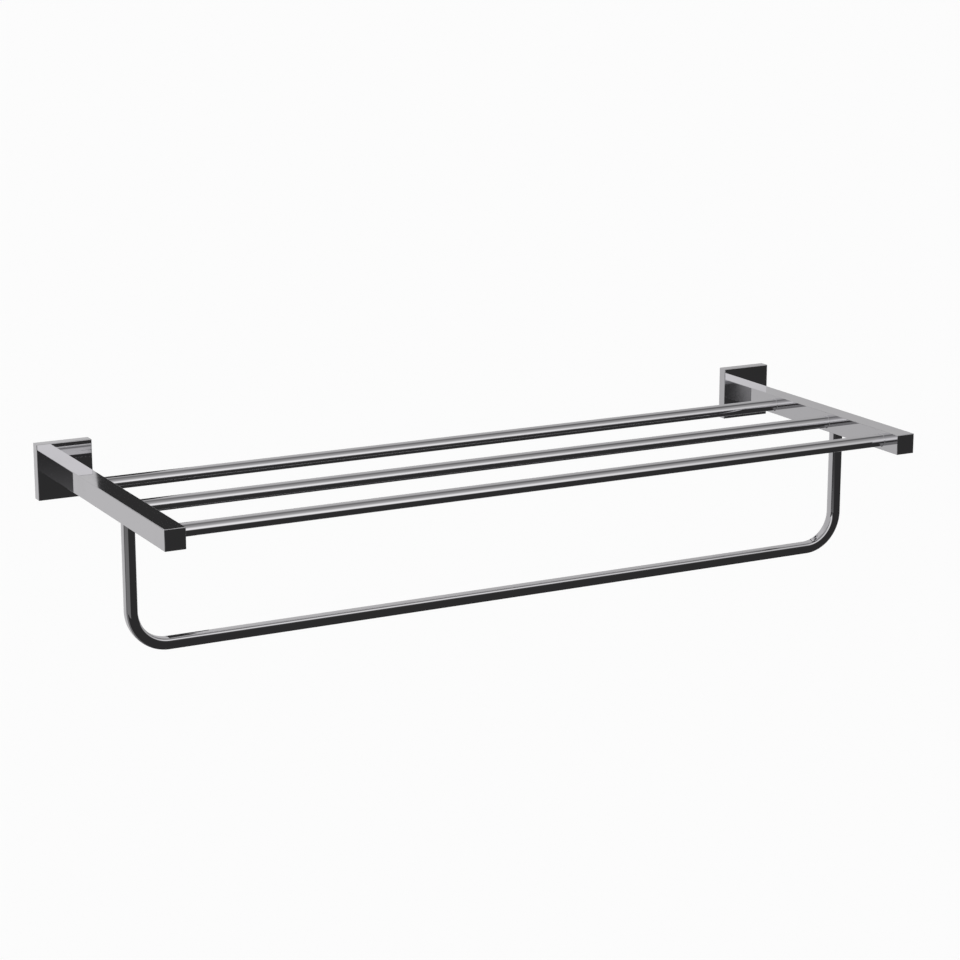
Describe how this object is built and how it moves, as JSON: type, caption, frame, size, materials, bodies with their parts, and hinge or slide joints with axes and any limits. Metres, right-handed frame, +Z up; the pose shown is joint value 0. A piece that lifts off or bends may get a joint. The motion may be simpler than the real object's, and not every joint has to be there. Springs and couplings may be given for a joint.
{
  "type": "towel rack",
  "caption": "Wall-hung chrome towel rack: round rods between square arms make a shelf, with a U-shaped square towel bar hung below and square wall plates.",
  "frame": {"origin": "on the wall's face, midway between the two wall plates, level with the arms' centre lines", "axes": "+X along the rods, left to right seen from the front; +Y into the wall, so the front of the rack is at -Y; +Z up"},
  "size_m": [0.6424, 0.23, 0.1266],
  "materials": {
    "polished_chrome": "mirror-polished chrome plate on brass",
    "bracket_zinc": "dull nickel-plated die casting",
    "stainless_steel": "turned stainless steel",
    "bare_brass": "machined, unplated"
  },
  "bodies": {
    "root": {"left_wall_plate": "polished_chrome", "left_wall_bracket": "bracket_zinc", "left_plate_grub_screw": "stainless_steel", "left_arm": "polished_chrome", "left_arm_end_cap": "polished_chrome", "left_arm_root_block": "bare_brass", "left_arm_screw": "stainless_steel", "left_arm_lock_washer": "stainless_steel", "left_arm_locating_pin": "stainless_steel", "right_wall_plate": "polished_chrome", "right_wall_bracket": "bracket_zinc", "right_plate_grub_screw": "stainless_steel", "right_arm": "polished_chrome", "right_arm_end_cap": "polished_chrome", "right_arm_root_block": "bare_brass", "right_arm_screw": "stainless_steel", "right_arm_lock_washer": "stainless_steel", "right_arm_locating_pin": "stainless_steel", "rear_rod": "polished_chrome", "middle_rod": "polished_chrome", "front_rod": "polished_chrome", "towel_bar": "polished_chrome"}
  },
  "joints": []
}
